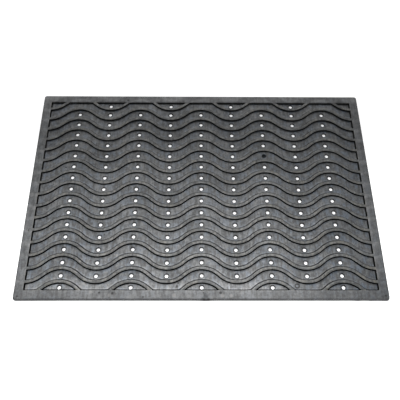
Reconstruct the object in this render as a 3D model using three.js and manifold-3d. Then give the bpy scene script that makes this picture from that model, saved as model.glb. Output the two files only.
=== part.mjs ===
// Outdoor doormat moulded in one piece from black rubber: a thin sheet with a plain border and
// wavy ribs across it, and small drain holes through the sheet in the hollows of the waves.
// Millimetres. The origin is the middle of the underside, X runs along the long side, Y towards
// the far long side and Z up.
import * as THREE from "three";
import { mergeVertices } from "three/addons/utils/BufferGeometryUtils.js";
import Module from "manifold-3d";

const wasm = await Module();
wasm.setup();

// The mat
const matLength = 600;
const matWidth = 400;
const sheetThickness = 2;
const reliefHeight = 3; // how far the border and the ribs stand above the sheet
const borderWidth = 16; // on the top face
const cornerRadius = 5.5;
const edgeLip = 0.8; // upright part at the foot of the outer edge
const edgeLean = 1.5; // how far the outer edge comes in above the lip

// The ribs
const ribPitch = 22.6; // from one rib to the next
const ribTopWidth = 4.5;
const wallLean = 1.2; // how far a rib's wall or the border's wall comes in over its height
const waveLength = 114;
const waveHeight = 23.4; // from the middle of a trough to the middle of a crest
const waveSlope = THREE.MathUtils.degToRad(39); // of the straight run between two bends

// The drain holes
const drainDiameter = 6;
const drainShift = 1; // how far the holes sit in front of the middle of their channels
const cloggedColumn = 2; // this hole was never punched clear, and counts from the middle column
const cloggedRib = 3; // and from the middle rib
const cloggedSkin = 1.1; // thickness left in it
const pinholeDiameter = 2;
const pinholeX = -242;
const pinholeY = 40.5;

// Worked out from the above
const matHeight = sheetThickness + reliefHeight;
const fieldHalfX = matLength / 2 - borderWidth;
const fieldHalfY = matWidth / 2 - borderWidth;
const halfWave = waveLength / 2;
const bendRise = 1 - Math.cos(waveSlope);
const bendRun = halfWave * Math.sin(waveSlope) - waveHeight * Math.cos(waveSlope);
const bendRadius = bendRun / (2 * bendRise);
const ribLean = wallLean / reliefHeight; // sideways for each millimetre of height
const past = 1; // how far a cutting solid runs past the face it cuts
const arcDivisions = 2;

// A three.js geometry as a solid that can be joined and cut.
function solid(geometry) {
  geometry.deleteAttribute("normal");
  geometry.deleteAttribute("uv");
  const merged = mergeVertices(geometry, 1e-4);
  return new wasm.Manifold(new wasm.Mesh({
    numProp: 3,
    vertProperties: new Float32Array(merged.attributes.position.array),
    triVerts: new Uint32Array(merged.index.array),
  }));
}

// A solid with the outline at the height high, and walls that come out by lean on the way down
// to the height low. Below that the walls are upright for the depth foot.
function leaning(outline, low, high, lean, foot) {
  const geometry = new THREE.ExtrudeGeometry(outline, {
    depth: foot,
    bevelEnabled: true,
    bevelThickness: high - low,
    bevelSize: lean,
    bevelSegments: 1,
    curveSegments: arcDivisions,
  });
  geometry.translate(0, 0, low - foot);
  return geometry;
}

function rectangle(halfX, halfY, radius) {
  const shape = new THREE.Shape();
  if (radius > 0) {
    shape.absarc(halfX - radius, halfY - radius, radius, 0, Math.PI / 2);
    shape.absarc(radius - halfX, halfY - radius, radius, Math.PI / 2, Math.PI);
    shape.absarc(radius - halfX, radius - halfY, radius, Math.PI, 1.5 * Math.PI);
    shape.absarc(halfX - radius, radius - halfY, radius, 1.5 * Math.PI, 2 * Math.PI);
  } else {
    shape.moveTo(halfX, halfY);
    shape.lineTo(-halfX, halfY);
    shape.lineTo(-halfX, -halfY);
    shape.lineTo(halfX, -halfY);
  }
  shape.closePath();
  return shape;
}

// The outline of a rib seen from above: its two sides stay the same distance apart round every
// bend. A bend is an arc about a centre inside it, and a straight run joins it to the next.
function ribOutline(middle, width, bends) {
  const shape = new THREE.Shape();
  for (let bend = -bends; bend <= bends; bend += 1) {
    addBend(shape, middle, bend, -width / 2, false);
  }
  for (let bend = bends; bend >= -bends; bend -= 1) {
    addBend(shape, middle, bend, width / 2, true);
  }
  shape.closePath();
  return shape;
}

// One bend of one side of a rib. Even bends are crests and odd bends are troughs.
function addBend(shape, middle, bend, side, backwards) {
  const crest = bend % 2 === 0;
  const sign = crest ? 1 : -1;
  const centreY = middle + sign * (waveHeight / 2 - bendRadius);
  const radius = bendRadius + sign * side;
  const from = sign * (Math.PI / 2 + waveSlope);
  const to = sign * (Math.PI / 2 - waveSlope);
  const start = backwards ? to : from;
  const end = backwards ? from : to;
  shape.absarc(bend * halfWave, centreY, radius, start, end, crest !== backwards);
}

function drain(x, y, diameter, bottom) {
  const height = matHeight + past - bottom;
  const geometry = new THREE.CylinderGeometry(diameter / 2, diameter / 2, height, 8);
  geometry.rotateX(Math.PI / 2);
  geometry.translate(x, y, bottom + height / 2);
  return solid(geometry);
}

// The block that the mat is cut from, with its outer edge.
const topHalfX = matLength / 2 - edgeLean;
const topHalfY = matWidth / 2 - edgeLean;
const topOutline = rectangle(topHalfX, topHalfY, cornerRadius - edgeLean);
const block = solid(leaning(topOutline, edgeLip, matHeight, edgeLean, edgeLip + past));
const slab = new THREE.BoxGeometry(2 * matLength, 2 * matWidth, matHeight + past);
slab.translate(0, 0, (matHeight + past) / 2);
let mat = block.intersect(solid(slab));

// The field inside the border: a shallow tray whose walls come in on the way down.
const trayHeight = reliefHeight + past;
const trayLean = trayHeight * ribLean;
const floorOutline = rectangle(fieldHalfX - wallLean, fieldHalfY - wallLean, 0);
const tray = leaning(floorOutline, 0, trayHeight, trayLean, past);
tray.rotateX(Math.PI);
tray.translate(0, 0, sheetThickness + trayHeight);
let channels = solid(tray);

// The ribs: every one whose foot reaches into the field, counted from the middle one. They run
// past both ends, so the border takes them in.
const bendsEachSide = Math.ceil(matLength / 2 / halfWave);
const reach = fieldHalfY + waveHeight / 2 + ribTopWidth / 2 + wallLean;
const ribsEachSide = Math.floor(reach / ribPitch);
const cutHigh = matHeight + 2 * past;
const cutLow = sheetThickness - past;
const cutWidth = ribTopWidth - 2 * ribLean * (cutHigh - matHeight);
for (let rib = -ribsEachSide; rib <= ribsEachSide; rib += 1) {
  const outline = ribOutline(rib * ribPitch, cutWidth, bendsEachSide);
  const lean = ribLean * (cutHigh - cutLow);
  channels = channels.subtract(solid(leaning(outline, cutLow, cutHigh, lean, past)));
}
mat = mat.subtract(channels);

// The drain holes: one in the hollow of every bend that stands in the field, half-way to the
// next rib or to the border.
const hollow = ribPitch - ribTopWidth;
const columnsEachSide = Math.floor((fieldHalfX - drainDiameter) / halfWave);
for (let column = -columnsEachSide; column <= columnsEachSide; column += 1) {
  const sign = column % 2 === 0 ? 1 : -1;
  for (let rib = -ribsEachSide; rib <= ribsEachSide; rib += 1) {
    const side = rib * ribPitch * sign + waveHeight / 2 - ribTopWidth / 2;
    if (side < fieldHalfY) {
      const across = (side + Math.max(side - hollow, -fieldHalfY)) / 2;
      const clogged = column === cloggedColumn && rib === cloggedRib;
      const bottom = clogged ? cloggedSkin : -past;
      const y = sign * across - drainShift;
      mat = mat.subtract(drain(column * halfWave, y, drainDiameter, bottom));
    }
  }
}
mat = mat.subtract(drain(pinholeX, pinholeY, pinholeDiameter, -past));

const made = mat.getMesh();
const geometry = new THREE.BufferGeometry();
geometry.setAttribute("position", new THREE.BufferAttribute(made.vertProperties, 3));
geometry.setIndex(new THREE.BufferAttribute(made.triVerts, 1));
geometry.computeVertexNormals();

const blackRubber = new THREE.MeshStandardMaterial({
  color: 0x1b1b1c,
  roughness: 0.6,
  metalness: 0,
});
const rubberMat = new THREE.Mesh(geometry, blackRubber);
rubberMat.name = "rubber_mat";

const group = new THREE.Group();
group.add(rubberMat);
export default group;
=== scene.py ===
"""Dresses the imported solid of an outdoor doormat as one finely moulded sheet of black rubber.

Lengths are in millimetres until a mesh is written. X runs along the mat's long side, Y towards
its far long side and Z up, and the origin is the middle of the underside.
"""

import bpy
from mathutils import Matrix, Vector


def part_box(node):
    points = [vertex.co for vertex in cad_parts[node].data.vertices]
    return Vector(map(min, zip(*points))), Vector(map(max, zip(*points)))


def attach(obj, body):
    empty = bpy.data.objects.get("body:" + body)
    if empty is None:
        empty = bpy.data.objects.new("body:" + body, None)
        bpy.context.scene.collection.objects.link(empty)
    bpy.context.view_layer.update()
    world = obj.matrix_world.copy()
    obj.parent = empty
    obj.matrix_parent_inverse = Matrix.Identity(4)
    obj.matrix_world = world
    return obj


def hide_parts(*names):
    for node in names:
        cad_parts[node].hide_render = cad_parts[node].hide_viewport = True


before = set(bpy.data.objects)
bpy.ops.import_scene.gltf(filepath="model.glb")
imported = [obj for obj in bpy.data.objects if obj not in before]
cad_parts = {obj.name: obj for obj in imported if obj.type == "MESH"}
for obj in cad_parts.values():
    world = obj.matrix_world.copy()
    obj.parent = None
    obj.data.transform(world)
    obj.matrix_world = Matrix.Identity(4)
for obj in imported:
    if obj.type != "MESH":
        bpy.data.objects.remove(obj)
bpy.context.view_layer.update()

from types import SimpleNamespace

import bpy
import numpy as np
from mathutils import Quaternion, Vector
from mathutils.geometry import delaunay_2d_cdt

MM = 0.001

# The mat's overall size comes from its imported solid.
mat_low, mat_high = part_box("rubber_mat")
mat_length = (mat_high[0] - mat_low[0]) / MM
mat_width = (mat_high[1] - mat_low[1]) / MM
mat_height = (mat_high[2] - mat_low[2]) / MM

# The moulding's own sizes, as in the solid
relief_height = 3.0
sheet_thickness = mat_height - relief_height
border_width = 16.0
corner_radius = 5.5
edge_lip = 0.8
edge_lean = 1.5
rib_pitch = 22.6
rib_top_width = 4.5
wall_lean = 1.2
wave_length = 114.0
wave_height = 23.4
wave_slope = np.radians(39.0)
drain_diameter = 6.0
drain_shift = 1.0
clogged_column = 2
clogged_rib = 3
clogged_skin = 1.1
pinhole_diameter = 2.0
pinhole_x = -242.0
pinhole_y = 40.5

# Roundings that the solid leaves out
top_round = 0.2
foot_round = 0.3
outer_round = 0.8
heel_round = 0.25

# Worked out from the above
half_wave = wave_length / 2
bend_radius = half_wave * np.sin(wave_slope) - wave_height * np.cos(wave_slope)
bend_radius /= 2 * (1 - np.cos(wave_slope))
field_half_x = mat_length / 2 - border_width
field_half_y = mat_width / 2 - border_width
wall_slope = np.arctan2(relief_height, wall_lean)
top_reach = top_round * np.tan(wall_slope / 2)
foot_reach = foot_round * np.tan(wall_slope / 2)
foot_line = wall_lean + foot_reach
ribs_each_side = int((field_half_y + wave_height / 2 + rib_top_width / 2 + wall_lean) // rib_pitch)
edge_slope = np.arctan2(mat_height - edge_lip, edge_lean)
edge_reach = outer_round * np.tan(edge_slope / 2)
plateau_half_x = mat_length / 2 - edge_lean - edge_reach
plateau_half_y = mat_width / 2 - edge_lean - edge_reach
plateau_corner = corner_radius - edge_lean - edge_reach

# How the surface is cut into strips
hole_block = 6.3  # half the length of the patch that is turned into a hole's surround
pinhole_block = 5.1
floor_strips = 4  # across a channel's floor
column_gap = 1.3  # least distance of an evenly spaced column from one that a rib's edge needs
border_gap = 0.8  # least distance of a column in the field from the border's foot
under_ring = 2.0  # how far in the underside's first ring lies
bends_each_side = int(np.ceil(mat_length / 2 / half_wave))

# Wander of the front edge: it stays back by edge_recess, except at these (x, half width)
edge_recess = 0.5
edge_swellings = [(6, 9), (248, 4), (270, 4), (-300, 60), (300, 30)]

# A shallow sag of the front border, deepest at the mat's edge
sag_x = 6.0
sag_depth = 0.2
sag_half_width = 5.0

# Marks of use, each as (x, y, radius)
dark_stains = [
    (30, -188, 3.6), (-142, -189, 3.2), (-163, -188, 2.4), (-139, 189, 2.6), (2.5, -188, 1.6),
    (-93, -195, 2.2), (-290, -80.5, 2.2), (-292, -194, 2.4), (293, -193, 2.4), (-39.5, -176.5, 3.4),
    (-38, -171.5, 2.2), (-52.5, -169, 1.8), (-163, -87, 2.0), (10.5, -198.8, 3.0), (3.5, -198.8, 2.6),
]
pale_scuffs = [
    (33, -193, 4.5), (-176, -187, 4.5), (-44, -192.5, 4.5), (-147, -192, 3.6), (47, -193, 4.0),
    (57, 193, 3.0), (-237, -163, 3.6), (-140, -124.5, 3.0), (-149.5, 3.5, 2.6), (10, -163.5, 2.4),
]
ring_stain = (153.5, -176, 3.2)

# The middle of the painted highlight on the front area, and the spread of the painted shade
# in the fan-shaped crease that runs out from the sag
painted_highlight_middle_x = 30.0
fan_spread = 0.55

# Sizes of the rubber's patterns
pore_size = 0.9
pore_depth = 0.1
grain_size = 2.3
streak_width = 3.2
streak_stretch = 5
mottle_size = 6.0
tint_size = 11.0
cloud_size = 70.0

# Colours of the rubber; each part of the mat drifts between two tints
floor_tints = ((0.018, 0.021, 0.024, 1), (0.009, 0.021, 0.038, 1))
rib_tints = ((0.032, 0.030, 0.022, 1), (0.019, 0.023, 0.023, 1))
border_tints = ((0.022, 0.024, 0.026, 1), (0.017, 0.0215, 0.028, 1))
dustless_colour = (0.004, 0.005, 0.006, 1)
# Painted shade of the walls, crevices and hole surrounds, near the front and far back
near_wall_shade_colour = (0.002, 0.002, 0.002, 1)
far_wall_shade_colour = (0.008, 0.008, 0.008, 1)
stain_colour = (0.004, 0.004, 0.004, 1)
scuff_colour = (0.036, 0.035, 0.034, 1)

# Studio, in metres and watts, and the camera that was fitted to the mat's edges and drain holes
floor_drop = 0.0002  # how far the studio's floor lies under the mat
middle_radius = 1.0
flat_radius = 7.0
curve_radius = 2.0
wall_height = 4.5
world_strength = 0.27
photo_width = 400  # in pixels, as is the next
focal_length = 516.06
sensor_width = 36
camera_place = Vector((-12.05, -421.63, 804.41)) * MM
camera_aim = Vector((-3.58, -22.99, 2.0)) * MM
camera_roll = np.radians(1.21)

# Rings of a hole from its mouth down: distance outside the hole's wall, and height
open_rings = [
    (0.35, sheet_thickness), (0.1, sheet_thickness - 0.1), (0.0, sheet_thickness - 0.35),
    (0.0, 0.25), (0.12, 0.0), (0.7, 0.0),
]
clogged_rings = [
    (0.35, sheet_thickness), (0.1, sheet_thickness - 0.08), (-0.2, clogged_skin + 0.3),
    (-0.8, clogged_skin), (-1.9, clogged_skin),
]
pinhole_rings = [
    (0.2, sheet_thickness), (0.0, sheet_thickness - 0.2), (0.0, 0.1), (0.1, 0.0), (0.5, 0.0),
]


def step_height(t):
    """Height above the sheet at the distance t outward from the top edge of a rib or border.

    Full height, then a round edge of top_round, a straight leaning wall, a hollow fillet of
    foot_round, and nothing beyond it.
    """
    on_edge = relief_height - top_round + np.sqrt(
        np.clip(top_round**2 - np.clip(t + top_reach, 0, None) ** 2, 0, None)
    )
    on_wall = relief_height * (1 - t / wall_lean)
    on_foot = foot_round - np.sqrt(
        np.clip(foot_round**2 - np.clip(foot_line - t, 0, None) ** 2, 0, None)
    )
    edge_ends = top_round * np.sin(wall_slope) - top_reach
    foot_starts = foot_line - foot_round * np.sin(wall_slope)
    return np.select(
        [t <= edge_ends, t <= foot_starts, t <= foot_line], [on_edge, on_wall, on_foot], 0.0
    )


def step_lines():
    """Distances from the top edge at which a wall is cut into strips, from its top to its foot."""
    turn = wall_slope * np.array([0, 0.5, 1])
    return np.concatenate([
        top_round * np.sin(turn) - top_reach,
        foot_line - foot_round * np.sin(turn[::-1]),
    ])


def rib_line(x, side):
    """Height on the page of the curve that runs beside a rib's middle line, at the distance side.

    Arcs of bend_radius, plus or minus side, over crests and under troughs, with straight runs of
    wave_slope between them.
    """
    u = np.abs((x + half_wave) % wave_length - half_wave)
    centre = wave_height / 2 - bend_radius
    over, under = bend_radius + side, bend_radius - side
    crest = centre + np.sqrt(np.clip(over**2 - u**2, 0, None))
    trough = -centre - np.sqrt(np.clip(under**2 - (half_wave - u) ** 2, 0, None))
    run = centre + over * np.cos(wave_slope) - (u - over * np.sin(wave_slope)) * np.tan(wave_slope)
    on_crest = u <= over * np.sin(wave_slope)
    on_trough = half_wave - u <= under * np.sin(wave_slope)
    return np.select([on_crest, on_trough], [crest, trough], run)


def rib_distances(x, y):
    """Distances from the ribs' middle lines: from the nearest, and from the next one below.

    They are radial on the bends and square to the straight runs, and positive above a rib.
    """
    u = np.abs((x + half_wave) % wave_length - half_wave)
    centre = wave_height / 2 - bend_radius
    nearest = np.full(np.broadcast(x, y).shape, np.inf)
    above = nearest.copy()
    for rib in range(-ribs_each_side, ribs_each_side + 1):
        v = y - rib * rib_pitch
        crest = np.hypot(u, v - centre) - bend_radius
        trough = bend_radius - np.hypot(half_wave - u, v + centre)
        run = (u - half_wave / 2) * np.sin(wave_slope) + v * np.cos(wave_slope)
        on_crest = (v > centre) & (u <= np.tan(wave_slope) * (v - centre))
        on_trough = (v < -centre) & (half_wave - u <= np.tan(wave_slope) * (-centre - v))
        distance = np.select([on_crest, on_trough], [crest, trough], run)
        nearest = np.minimum(nearest, np.abs(distance))
        above = np.minimum(above, np.where(distance > 0, distance, np.inf))
    return nearest, above


def relief(x, y):
    """Height of the mat's upper face: the sheet, with the higher of the ribs and the border.

    The sag lowers the front border by its depth times a bell curve in x, and times the share
    of the border's width that lies inside the point.
    """
    inward = np.minimum(field_half_x - np.abs(x), field_half_y - np.abs(y))
    on_rib = step_height(rib_distances(x, y)[0] - rib_top_width / 2)
    share = np.clip((-y - field_half_y) / border_width, 0, 1)
    sag = sag_depth * share * np.exp(-(((x - sag_x) / (sag_half_width * (0.4 + share))) ** 2))
    return sheet_thickness + np.maximum(on_rib, step_height(inward)) - sag


def front_recess(x):
    """How far the front edge stays back: edge_recess, less a bell curve at each swelling."""
    kept = np.ones_like(x)
    for place, half_width in edge_swellings:
        kept *= 1 - np.exp(-(((x - place) / half_width) ** 2))
    return edge_recess * kept


def mirrored(values):
    """The values with their negatives in front, from low to high."""
    return np.concatenate([-values[::-1], values])


def border_lines(field_half, plateau_half):
    """Lines over the border: down its inner wall, across its top, and through its corner."""
    wall = field_half - step_lines()[::-1]
    top = np.linspace(wall[-1], plateau_half - plateau_corner, 4)[1:]
    corner = np.linspace(top[-1], plateau_half, 4)[1:]
    return np.concatenate([wall, top, corner])


def column_lines():
    """Places along the mat of the lines that cross it.

    They lie close at the drain holes, and one lies wherever an edge or a foot of the outermost
    ribs meets the border, so those edges end exactly there.
    """
    u = np.linspace(0, half_wave, 2001)
    border_foot = field_half_y - foot_line - ribs_each_side * rib_pitch
    sides = rib_top_width / 2 + np.array([0.0, wall_lean])
    meets = [np.interp(-border_foot, -rib_line(u, s), u) for s in mirrored(sides)]
    meets = np.sort(np.concatenate([meets, half_wave - np.array(meets)]))
    even = np.linspace(0, hole_block, 4)
    even = np.concatenate([even, np.linspace(hole_block, half_wave - hole_block, 14)[1:-1]])
    even = np.unique(np.concatenate([even, half_wave - np.linspace(0, hole_block, 4)]))
    clear = np.abs(even[:, None] - meets[None, :]).min(axis=1) > column_gap
    phases = np.sort(np.concatenate([even[clear], meets]))
    bends = np.arange(-bends_each_side, bends_each_side) * half_wave
    lines = np.unique(np.round((bends[:, None] + phases[None, :]).ravel(), 6))
    inner = lines[np.abs(lines) < field_half_x - foot_line - border_gap]
    return np.concatenate([
        -border_lines(field_half_x, plateau_half_x)[::-1],
        inner,
        border_lines(field_half_x, plateau_half_x),
    ])


def row_lines(x):
    """Rows of points over the mat, and the first and last row of each channel's floor.

    Every row follows a rib: its foot, wall, round edge and top. A row that would run into the
    border stops at the foot of the border's wall and follows that.
    """
    border = border_lines(field_half_y, plateau_half_y)
    limit = field_half_y - foot_line
    rib_sides = mirrored(rib_top_width / 2 + step_lines())
    rib_sides = np.insert(rib_sides, len(rib_sides) // 2, 0.0)
    rows = [np.full_like(x, -value) for value in border[::-1]]
    floors = []
    for rib in range(-ribs_each_side, ribs_each_side + 2):
        start = len(rows) - 1
        if rib <= ribs_each_side:
            own = [
                np.clip(rib * rib_pitch + rib_line(x, side), -limit, limit) for side in rib_sides
            ]
        else:
            own = [np.full_like(x, value) for value in border]
        for strip in range(1, floor_strips):
            share = strip / floor_strips
            rows.append(rows[start] * (1 - share) + own[0] * share)
        floors.append((start, len(rows)))
        rows.extend(own)
    return np.array(rows), floors


def round_corners(x, y):
    """Bends the square corners of the grid into quarter circles, square ring by square ring."""
    a = np.abs(x) - (plateau_half_x - plateau_corner)
    b = np.abs(y) - (plateau_half_y - plateau_corner)
    inside = (a > 0) & (b > 0)
    scale = np.maximum(a, b) / np.where(inside, np.hypot(a, b), 1.0)
    turned_x = np.sign(x) * (plateau_half_x - plateau_corner + a * scale)
    turned_y = np.sign(y) * (plateau_half_y - plateau_corner + b * scale)
    return np.where(inside, turned_x, x), np.where(inside, turned_y, y)


class Shell:
    """Points and faces of a surface while it is put together."""

    def __init__(self):
        self.points = np.zeros((0, 3))
        self.faces = []

    def add_points(self, x, y, z):
        """Adds an array of points and returns their numbers in the same shape."""
        x, y, z = np.broadcast_arrays(x, y, z)
        numbers = len(self.points) + np.arange(x.size).reshape(x.shape)
        self.points = np.concatenate([self.points, np.stack([x, y, z], -1).reshape(-1, 3)])
        return numbers

    def add_quads(self, a, b, c, d):
        """Adds one four-sided face for each set of corner numbers, or a triangle if c is d."""
        self.faces.append(np.stack([a, b, c, d], -1).reshape(-1, 4))

    def join_rings(self, outer, inner):
        """Strips of faces between two closed rings of points, or between arrays of such rings."""
        self.add_quads(outer, np.roll(outer, -1, -1), np.roll(inner, -1, -1), inner)

    def mesh(self, name):
        """The shell as a mesh in metres, without repeated corners, flat faces or unused points."""
        faces = np.concatenate(self.faces)
        kept = [np.zeros((0, 4), int)]
        triangles = [np.zeros((0, 3), int)]
        same = faces == np.roll(faces, -1, -1)
        kept.append(faces[same.sum(1) == 0])
        for corner in range(4):
            pinched = faces[(same.sum(1) == 1) & same[:, corner]]
            triangles.append(np.delete(pinched, corner, axis=1))
        kept, triangles = np.concatenate(kept), np.concatenate(triangles)
        used, numbers = np.unique(
            np.concatenate([kept.ravel(), triangles.ravel()]), return_inverse=True
        )
        quads = numbers[: kept.size].reshape(-1, 4)
        triangles = numbers[kept.size :].reshape(-1, 3)
        mesh = bpy.data.meshes.new(name)
        mesh.from_pydata(self.points[used] * MM, [], quads.tolist() + triangles.tolist())
        mesh.shade_smooth()
        return mesh


def hole_rings(block, floors_of, grid, x, y, radius, profile, shell, removed):
    """Turns one patch of the grid round each hole into the hole's surround and wall.

    The patch's edge is matched point by point with a circle, a ring half-way between the two
    comes first, and then one ring for each (distance outside the hole's wall, height).
    """
    left, right = block
    bottom, top = floors_of
    across, along = right - left, top - bottom
    columns = np.concatenate([
        np.arange(across), np.full(along, across), np.arange(across, 0, -1), np.zeros(along, int)
    ])
    rows = np.concatenate([
        np.zeros(across, int), np.arange(along), np.full(across, along), np.arange(along, 0, -1)
    ])
    edge = grid[bottom + rows, left + columns]
    removed[bottom:top, left:right] = True
    count = len(edge)
    angle = -np.pi / 2 + (np.arange(count) - across / 2) * 2 * np.pi / count
    points = shell.points[edge]
    first = radius + profile[0][0]
    ring_x = (points[:, 0] + x + first * np.cos(angle)) / 2
    ring_y = (points[:, 1] + y + first * np.sin(angle)) / 2
    last = shell.add_points(ring_x, ring_y, sheet_thickness)
    shell.join_rings(edge, last)
    for out, height in profile:
        reach = radius + out
        ring = shell.add_points(x + reach * np.cos(angle), y + reach * np.sin(angle), height)
        shell.join_rings(last, ring)
        last = ring
    return last


def drain_holes():
    """One (column, rib, y) for the hollow of every bend that stands in the field.

    The hole lies half-way from the bend to the next rib or the border, moved by drain_shift.
    """
    hollow = rib_pitch - rib_top_width
    columns_each_side = int((field_half_x - drain_diameter) // half_wave)
    for column in range(-columns_each_side, columns_each_side + 1):
        sign = 1 if column % 2 == 0 else -1
        for rib in range(-ribs_each_side, ribs_each_side + 1):
            side = rib * rib_pitch * sign + wave_height / 2 - rib_top_width / 2
            if side < field_half_y:
                across = (side + max(side - hollow, -field_half_y)) / 2
                yield column, rib, sign * across - drain_shift


def fill_underside(shell, rim, holes):
    """Triangles between the outer rim and the rims of the holes, facing down."""
    loops = [rim] + holes
    numbers = np.concatenate(loops)
    loop_of = np.repeat(np.arange(len(loops)), [len(loop) for loop in loops])
    starts = np.cumsum([0] + [len(loop) for loop in loops[:-1]])
    edges = [
        (start + n, start + (n + 1) % len(loop))
        for start, loop in zip(starts.tolist(), loops)
        for n in range(len(loop))
    ]
    flat = [Vector(point) for point in shell.points[numbers][:, :2].tolist()]
    _, _, faces, came_from, _, _ = delaunay_2d_cdt(flat, edges, [], 0, 1e-6)
    origin = np.array([old[0] for old in came_from])
    faces = origin[np.array(faces)]
    in_hole = (loop_of[faces] == loop_of[faces][:, :1]).all(1) & (loop_of[faces][:, 0] > 0)
    faces = numbers[faces[~in_hole]]
    a, b, c = shell.points[faces][:, :, :2].transpose(1, 0, 2)
    turn = (b[:, 0] - a[:, 0]) * (c[:, 1] - a[:, 1]) - (b[:, 1] - a[:, 1]) * (c[:, 0] - a[:, 0])
    faces = np.where(turn[:, None] > 0, faces[:, ::-1], faces)
    shell.add_quads(faces[:, 0], faces[:, 1], faces[:, 2], faces[:, 2])


def outer_edge(shell, rim):
    """Rings from the plateau's rim down to the underside: a round edge, a leaning face, an
    upright lip and a small round heel.

    The front edge's rings are drawn in by front_recess, the more the farther out they lie. The
    last ring, on the underside, stays straight, and is given back.
    """
    points = shell.points[rim]
    inner = np.array([plateau_half_x - plateau_corner, plateau_half_y - plateau_corner])
    outward = points[:, :2] - np.clip(points[:, :2], -inner, inner)
    outward /= np.linalg.norm(outward, axis=1)[:, None]
    turn = edge_slope * np.array([1, 2, 3]) / 3
    full = edge_reach + edge_lean
    profile = [(outer_round * np.sin(a), mat_height - outer_round * (1 - np.cos(a))) for a in turn]
    profile += [(full, edge_lip), (full, heel_round)]
    profile += [(full - heel_round * 0.3, heel_round * 0.3), (full - heel_round, 0)]
    profile = [(out, height, out / full) for out, height in profile] + [(full - under_ring, 0, 0)]
    last = rim
    recess = front_recess(points[:, 0]) * np.clip(-outward[:, 1], 0, 1)
    lowered = points[:, 2] / mat_height
    for out, height, share in profile:
        reach = out - recess * share
        ring = shell.add_points(
            points[:, 0] + outward[:, 0] * reach,
            points[:, 1] + outward[:, 1] * reach,
            height * lowered,
        )
        shell.join_rings(ring, last)
        last = ring
    return last


def mark_surface(mesh):
    """Gives each point, in millimetres, its distance behind the foot of the rib or border in
    front of it and its distance from the middle of the nearest drain hole."""
    places = np.empty(len(mesh.vertices) * 3, np.float32)
    mesh.vertices.foreach_get("co", places)
    x, y, _ = places.astype(float).reshape(-1, 3).T / MM
    behind = rib_distances(x, y)[1] - rib_top_width / 2
    behind = np.minimum(behind, y + field_half_y) - wall_lean
    from_hole = np.full(x.shape, np.inf)
    for column, _, hole_y in drain_holes():
        from_hole = np.minimum(from_hole, np.hypot(x - column * half_wave, y - hole_y))
    for name, values in (("behind_rib", behind), ("from_hole", from_hole)):
        layer = mesh.attributes.new(name, "FLOAT", "POINT")
        layer.data.foreach_set("value", np.clip(values, -9, 30))


def build_mat():
    """The whole moulding as one closed mesh.

    Its upper face is the height relief over a grid of columns and rows that follow the ribs.
    The drain holes are let into that grid, rings carry the outer edge down to the floor, and
    the flat underside is filled in between the last rings.
    """
    shell = Shell()
    columns = column_lines()
    y, floors = row_lines(columns)
    x, y = round_corners(np.broadcast_to(columns, y.shape), y)
    keys = np.round(np.stack([x.ravel(), y.ravel()], -1), 4)
    _, first, numbers = np.unique(keys, axis=0, return_index=True, return_inverse=True)
    flat_x, flat_y = x.ravel()[first], y.ravel()[first]
    shell.add_points(flat_x, flat_y, relief(flat_x, flat_y))
    grid = numbers.reshape(x.shape)
    removed = np.zeros((grid.shape[0] - 1, grid.shape[1] - 1), bool)

    def columns_at(place, half_length):
        """Numbers of the two columns nearest to half_length on either side of the place."""
        return [int(np.abs(columns - (place + s)).argmin()) for s in (-half_length, half_length)]

    rims = []
    for column, rib, y in drain_holes():
        place = column * half_wave
        channel = floors[ribs_each_side + rib + column % 2]
        clogged = column == clogged_column and rib == clogged_rib
        ring = hole_rings(columns_at(place, hole_block), channel, grid, place, y,
                          drain_diameter / 2, clogged_rings if clogged else open_rings,
                          shell, removed)
        if clogged:
            centre = shell.add_points(place, y, clogged_skin)
            shell.join_rings(ring, np.full_like(ring, int(centre)))
        else:
            rims.append(ring)
    channel = floors[ribs_each_side + int(np.ceil((pinhole_y - wave_height / 2) / rib_pitch))]
    rims.append(hole_rings(columns_at(pinhole_x, pinhole_block), (channel[0], channel[1] - 1),
                           grid, pinhole_x, pinhole_y, pinhole_diameter / 2, pinhole_rings,
                           shell, removed))

    left_in = ~removed
    corners = [grid[:-1, :-1], grid[:-1, 1:], grid[1:, 1:], grid[1:, :-1]]
    shell.add_quads(*[corner[left_in] for corner in corners])
    rim = np.concatenate([grid[0, :-1], grid[:-1, -1], grid[-1, :0:-1], grid[:0:-1, 0]])
    rim = rim[rim != np.roll(rim, 1)]
    fill_underside(shell, outer_edge(shell, rim), rims)
    moulding = shell.mesh("rubber_moulding")
    mark_surface(moulding)
    return moulding


def link(name, data):
    """A new object in the scene."""
    thing = bpy.data.objects.new(name, data)
    bpy.context.scene.collection.objects.link(thing)
    return thing


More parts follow.
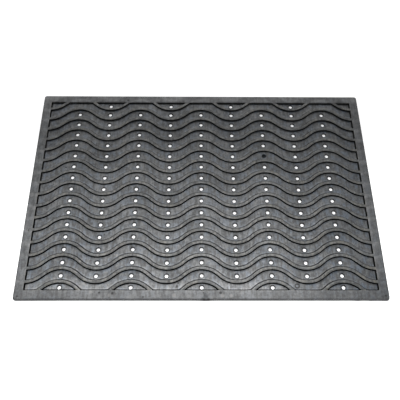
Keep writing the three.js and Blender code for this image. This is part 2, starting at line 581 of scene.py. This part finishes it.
class Finish:
    """A material's nodes, added one by one. Each call gives back the output of what it adds."""

    def __init__(self, name):
        self.material = bpy.data.materials.new(name)
        self.material.use_nodes = True
        self.tree = self.material.node_tree
        self.shader = self.tree.nodes["Principled BSDF"]

    def fill(self, socket, value):
        """Links the socket to value where that is an output, and otherwise sets it."""
        if isinstance(value, bpy.types.NodeSocket):
            self.tree.links.new(value, socket)
        else:
            socket.default_value = value

    def put(self, name, value):
        """Fills the shader's own socket of that name."""
        self.fill(self.shader.inputs[name], value)

    def add(self, kind, inputs, output=0, **settings):
        """A new node of that kind, with its inputs filled and its settings made."""
        made = self.tree.nodes.new("ShaderNode" + kind)
        for name, value in settings.items():
            setattr(made, name, value)
        for name, value in inputs.items():
            self.fill(made.inputs[name], value)
        return made.outputs[output]

    def math(self, operation, *values):
        """The values joined one after another by an operation such as ADD or MULTIPLY."""
        joined = values[0]
        for value in values[1:]:
            joined = self.add("Math", {0: joined, 1: value}, operation=operation)
        return joined

    def size_of(self, value):
        """The value without its sign."""
        return self.add("Math", {0: value}, operation="ABSOLUTE")

    def rest(self, share):
        """0 where the share is 1, 1 where it is 0, and a smooth step between them."""
        return self.ramp(share, 0, 1, 1, 0)

    def ramp(self, value, low, high, at_low=0.0, at_high=1.0):
        """at_low below low, at_high above high, and a smooth step between them."""
        return self.add(
            "MapRange",
            {"Value": value, "From Min": low, "From Max": high, "To Min": at_low, "To Max": at_high},
            interpolation_type="SMOOTHSTEP",
        )

    def stretch(self, where, scale):
        """The place with each of its coordinates times its own scale."""
        return self.add("Mapping", {"Vector": where, "Scale": scale})

    def noise(self, where, size, detail=2.0):
        """Cloudy noise round 0.5 whose patches are about size millimetres wide."""
        return self.add("TexNoise", {"Vector": where, "Scale": 1 / (size * MM), "Detail": detail})

    def mix(self, share, first, second):
        """The first colour where the share is 0 and the second where it is 1."""
        return self.add("Mix", {0: share, 6: first, 7: second}, output=2, data_type="RGBA")

    def distance(self, flat, x, y):
        """Distance in millimetres of a point on the ground plan from (x, y)."""
        away = self.add("VectorMath", {0: flat, 1: (x * MM, y * MM, 0)}, 1, operation="DISTANCE")
        return self.math("DIVIDE", away, MM)

    def spots(self, flat, marks):
        """1 in the middle of each mark, falling to 0 at its radius."""
        shade = 0.0
        for x, y, radius in marks:
            near = self.ramp(self.distance(flat, x, y), 0.3 * radius, radius, 1, 0)
            shade = self.math("MAXIMUM", shade, near)
        return shade


def rubber_parts(finish, where):
    """Which part of the mat a point is on, each as a share from 0 to 1, with its own x and y.

    The height tells tops, walls and floors apart, and the distance past the field tells the
    border and the outer edge. The mesh's two marks give what lies behind ribs and round holes.
    The walls and the floor lines by holes, crevices and side walls carry painted shade; the line
    behind each crevice and the ribs' front edges carry a painted highlight.
    """
    x, y, height = [
        finish.math("DIVIDE", finish.add("SeparateXYZ", {0: where}, output=axis), MM)
        for axis in range(3)
    ]
    behind = finish.add("Attribute", {}, output="Fac", attribute_name="behind_rib")
    from_hole = finish.add("Attribute", {}, output="Fac", attribute_name="from_hole")
    past_x = finish.math("SUBTRACT", finish.size_of(x), field_half_x)
    past_y = finish.math("SUBTRACT", finish.size_of(y), field_half_y)
    past_field = finish.math("MAXIMUM", past_x, past_y)
    edge_starts = border_width - edge_lean
    top = finish.ramp(height, mat_height - 0.6, mat_height - 0.2)
    border = finish.ramp(past_field, 0, 1)
    edge = finish.ramp(past_field, edge_starts - 1.2, edge_starts)
    low = finish.ramp(height, sheet_thickness + 0.1, sheet_thickness + 0.4, 1, 0)
    wall = finish.math("MULTIPLY", finish.rest(finish.math("ADD", top, low)), finish.rest(edge))
    floor = finish.math("MULTIPLY", low, finish.rest(border))

    # Painted shade on the floors: rings round the holes, lines behind the ribs, the side walls' feet
    hole_edge = drain_diameter / 2
    surround = finish.ramp(from_hole, hole_edge, hole_edge + 2.4, 0.85, 0)
    crevice = finish.ramp(behind, 0.3, 1.5, 0.85, 0)
    side_foot = finish.ramp(past_x, -wall_lean - 1.4, -wall_lean - 0.3)
    painted_floor_shade = finish.math("MAXIMUM", surround, crevice, side_foot)
    # The dark places are painted shade: those floor lines and all the walls
    dark = finish.math("MAXIMUM", finish.math("MULTIPLY", painted_floor_shade, floor), wall)

    # Painted highlights: the pale line behind each crevice, and the paler front edges of the ribs
    painted_highlight_line = finish.math(
        "MULTIPLY", finish.ramp(behind, 1, 2), finish.ramp(behind, 2.2, 4.5, 1, 0), floor
    )
    front_edge_highlight = finish.math("MULTIPLY", finish.ramp(behind, 9, 15), top)
    return SimpleNamespace(
        x=x, y=y, top=top, border=border, floor=floor,
        dark=dark, painted_highlight_line=painted_highlight_line, front_edge_highlight=front_edge_highlight,
    )


def rubber_marks_and_painted_light(finish, where, part):
    """Marks of use, painted shade and painted highlights, each as a share from 0 to 1.

    Stains and scuffs are round spots, and one stain is a ring. A fan of painted shade spreads from
    the sag towards the front edge. The front middle and the front channel, most of it on the left,
    carry a painted highlight, as they look in the photo.
    """
    flat = finish.stretch(where, (1, 1, 0))
    ring_x, ring_y, ring_radius = ring_stain
    from_ring = finish.math("SUBTRACT", finish.distance(flat, ring_x, ring_y), ring_radius)
    ring = finish.ramp(finish.size_of(from_ring), 0.5, 2, 1, 0)
    from_middle = finish.size_of(finish.math("SUBTRACT", part.x, painted_highlight_middle_x))
    front = finish.math("MULTIPLY", finish.ramp(part.y, -176, -158, 1, 0), part.floor)
    in_border = finish.math("SUBTRACT", -field_half_y, part.y)
    from_sag = finish.size_of(finish.math("SUBTRACT", part.x, sag_x))
    past_fan = finish.math("SUBTRACT", from_sag, finish.math("MULTIPLY", in_border, fan_spread))
    return SimpleNamespace(
        stain=finish.math("MAXIMUM", finish.spots(flat, dark_stains), ring),
        scuff=finish.spots(flat, pale_scuffs),
        painted_highlight_middle=finish.math(
            "MULTIPLY",
            finish.ramp(from_middle, 60, 200, 1, 0),
            finish.ramp(part.y, -180, 0, 1, 0),
        ),
        painted_highlight_front=finish.math("MULTIPLY", front, finish.ramp(part.x, 20, 200, 1, 0.15)),
        # The fan is painted shade in the crease of the sag
        fan=finish.math(
            "MULTIPLY", finish.ramp(past_fan, -3, 0.5, 1, 0), finish.ramp(in_border, 2, 6)
        ),
    )


def rubber_patterns(finish, where):
    """Cloudy noises of several sizes, streaks along y, and the dust that two of them make up."""
    mottle = finish.noise(where, mottle_size, 4)
    streak = finish.noise(finish.stretch(where, (1, 1 / streak_stretch, 1)), streak_width, 2)
    return SimpleNamespace(
        mottle=mottle,
        streak=streak,
        tint=finish.ramp(finish.noise(where, tint_size, 2), 0.4, 0.6),
        grain=finish.noise(where, grain_size, 1),
        cloud=finish.noise(where, cloud_size, 3),
        dust=finish.ramp(finish.math("ADD", mottle, streak), 0.7, 1.3),
    )


def rubber_colour(finish, part, marks_and_painted_light, pattern):
    """Tinted dust over black, then the dark places, the stains and the scuffs over that.

    The dark places are painted shade, a little greyer towards the far side, which is matched to the
    photo.
    """
    floor, rib, border = [
        finish.mix(pattern.tint, *tints) for tints in (floor_tints, rib_tints, border_tints)
    ]
    raised = finish.mix(part.border, rib, border)
    dusty = finish.mix(finish.math("MAXIMUM", part.top, part.border), floor, raised)
    # Painted shade of the dark places, nearly black at the front and a little greyer far back
    painted_shade_colour = finish.mix(finish.ramp(part.y, -100, 150), near_wall_shade_colour, far_wall_shade_colour)
    colour = finish.mix(pattern.dust, dustless_colour, dusty)
    colour = finish.mix(part.dark, colour, painted_shade_colour)
    colour = finish.mix(marks_and_painted_light.stain, colour, stain_colour)
    return finish.mix(marks_and_painted_light.scuff, colour, scuff_colour)


def rubber_roughness(finish, part, pattern):
    """A little smoother where dusty, a little rougher on tops, and dull in the dark places."""
    rough = finish.ramp(pattern.dust, 0, 1, 0.52, 0.46)
    for share, more in ((part.top, 0.04), (part.dark, 0.25)):
        rough = finish.math("ADD", rough, finish.math("MULTIPLY", share, more))
    return rough


def rubber_shine(finish, part, marks_and_painted_light, pattern):
    """How strongly the rubber reflects.

    It starts at 0.5, gains a little on the tops and the border, and gains a painted highlight on
    the ribs' front edges. Each pattern makes it uneven by that pattern's share, and each part,
    stain, scuff and patch of painted light multiplies it by a factor of its own.
    """
    shine = 0.5
    # The ribs' front edges gain a painted highlight
    for share, more in ((part.top, 0.03), (part.border, 0.03), (part.front_edge_highlight, 0.22)):
        shine = finish.math("ADD", shine, finish.math("MULTIPLY", share, more))
    unevenness = (
        (pattern.grain, finish.ramp(part.border, 0, 1, 1.2, 0.8)),
        (pattern.mottle, finish.ramp(part.border, 0, 1, 0.5, 0.25)),
        (pattern.streak, finish.ramp(part.floor, 0, 1, 0.3, 0.9)),
        (pattern.cloud, 1.0),
    )
    for noise, share in unevenness:
        uneven = finish.math("MULTIPLY", finish.math("SUBTRACT", noise, 0.5), share)
        shine = finish.math("MULTIPLY", shine, finish.math("ADD", uneven, 1))
    # Painted shade: the dark places and the fan. Painted highlights: the pale line, the front middle
    # and the front channel.
    factors = (
        (part.dark, 0.06), (part.painted_highlight_line, 1.16), (marks_and_painted_light.stain, 0.38), (marks_and_painted_light.fan, 0.68),
        (marks_and_painted_light.painted_highlight_middle, 1.13), (marks_and_painted_light.painted_highlight_front, 1.4), (marks_and_painted_light.scuff, 1.12),
    )
    for share, factor in factors:
        shine = finish.math("MULTIPLY", shine, finish.ramp(share, 0, 1, 1, factor))
    return shine


def black_rubber():
    """Dusty black rubber.

    Channel floors are bluish and streaky, rib tops are a greenish grey with a painted highlight
    along their front edges, and the border is a bluish grey. The inner walls, the crevices behind
    the ribs and the surrounds of the drain holes carry painted shade: they are painted nearly
    black, as they look in the photo.
    """
    finish = Finish("black_rubber")
    where = finish.add("TexCoord", {}, output="Object")
    part = rubber_parts(finish, where)
    marks_and_painted_light = rubber_marks_and_painted_light(finish, where, part)
    pattern = rubber_patterns(finish, where)
    finish.put("Base Color", rubber_colour(finish, part, marks_and_painted_light, pattern))
    finish.put("Roughness", rubber_roughness(finish, part, pattern))
    finish.put("Specular IOR Level", rubber_shine(finish, part, marks_and_painted_light, pattern))
    pores = finish.noise(where, pore_size, 3)
    bump = finish.add("Bump", {"Strength": 0.25, "Distance": pore_depth * MM, "Height": pores})
    finish.put("Normal", bump)
    return finish.material


def plain_white():
    """Matt white that also glows a little, so that it stays pale under the mat."""
    finish = Finish("studio_floor")
    finish.put("Base Color", (0.6, 0.6, 0.6, 1))
    finish.put("Roughness", 0.9)
    finish.put("Emission Color", (1, 1, 1, 1))
    finish.put("Emission Strength", 0.6)
    return finish.material


def studio_dish():
    """A round floor whose rim curves up, as a quarter circle, into a wall all round."""
    turn = np.linspace(0, np.pi / 2, 9)
    rim = flat_radius + curve_radius
    radii = np.concatenate([[middle_radius], flat_radius + curve_radius * np.sin(turn), [rim]])
    heights = np.concatenate([[0.0], curve_radius * (1 - np.cos(turn)), [wall_height]]) - floor_drop
    angle = np.linspace(0, 2 * np.pi, 96, endpoint=False)
    shell = Shell()
    x, y = np.outer(radii, np.cos(angle)) / MM, np.outer(radii, np.sin(angle)) / MM
    rings = shell.add_points(x, y, heights[:, None] / MM)
    shell.join_rings(rings[:-1], rings[1:])
    centre = shell.add_points(0, 0, heights[0] / MM)
    shell.join_rings(np.full_like(rings[0], int(centre)), rings[0])
    return shell.mesh("studio_floor")


def white_world():
    """Even white light from all round."""
    world = bpy.data.worlds.new("studio")
    world.use_nodes = True
    background = world.node_tree.nodes["Background"]
    background.inputs["Color"].default_value = (1, 1, 1, 1)
    background.inputs["Strength"].default_value = world_strength
    return world


def softbox(name, place, aim, width, depth, power):
    """An area light of width by depth metres that stands at place and faces aim."""
    light = bpy.data.lights.new(name, "AREA")
    light.shape = "RECTANGLE"
    light.size = width
    light.size_y = depth
    light.energy = power
    lamp = link(name, light)
    lamp.location = place
    direction = Vector(aim) - Vector(place)
    lamp.rotation_euler = direction.to_track_quat("-Z", "Y").to_euler()


def photo_camera():
    """The camera at camera_place, turned to camera_aim and rolled by camera_roll."""
    data = bpy.data.cameras.new("camera")
    data.sensor_width = sensor_width
    data.lens = sensor_width * focal_length / photo_width
    data.shift_x = 0.0018
    data.shift_y = 0.00125
    camera = link("camera", data)
    camera.location = camera_place
    turn = (camera_aim - camera_place).to_track_quat("-Z", "Y")
    camera.rotation_euler = (turn @ Quaternion((0, 0, 1), camera_roll)).to_euler()
    return camera


# The mat
doormat = link("doormat", build_mat())
doormat.data.materials.append(black_rubber())
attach(doormat, "root")
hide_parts("rubber_mat")

# The studio round it, lit mostly from behind: the feathered softbox faces over the mat
studio_floor = link("studio_floor", studio_dish())
studio_floor.data.materials.append(plain_white())
bpy.context.scene.world = white_world()
softbox("feathered_softbox", place=(-0.14, 0.7, 2.1), aim=(-0.14, -3.0, 3.1),
        width=1.5, depth=1.5, power=515)
softbox("rear_softbox", place=(-0.05, 1.7, 1.5), aim=(0, 0, 0), width=2.6, depth=0.9, power=42)
bpy.context.scene.camera = photo_camera()
bpy.context.scene.view_settings.view_transform = "Standard"
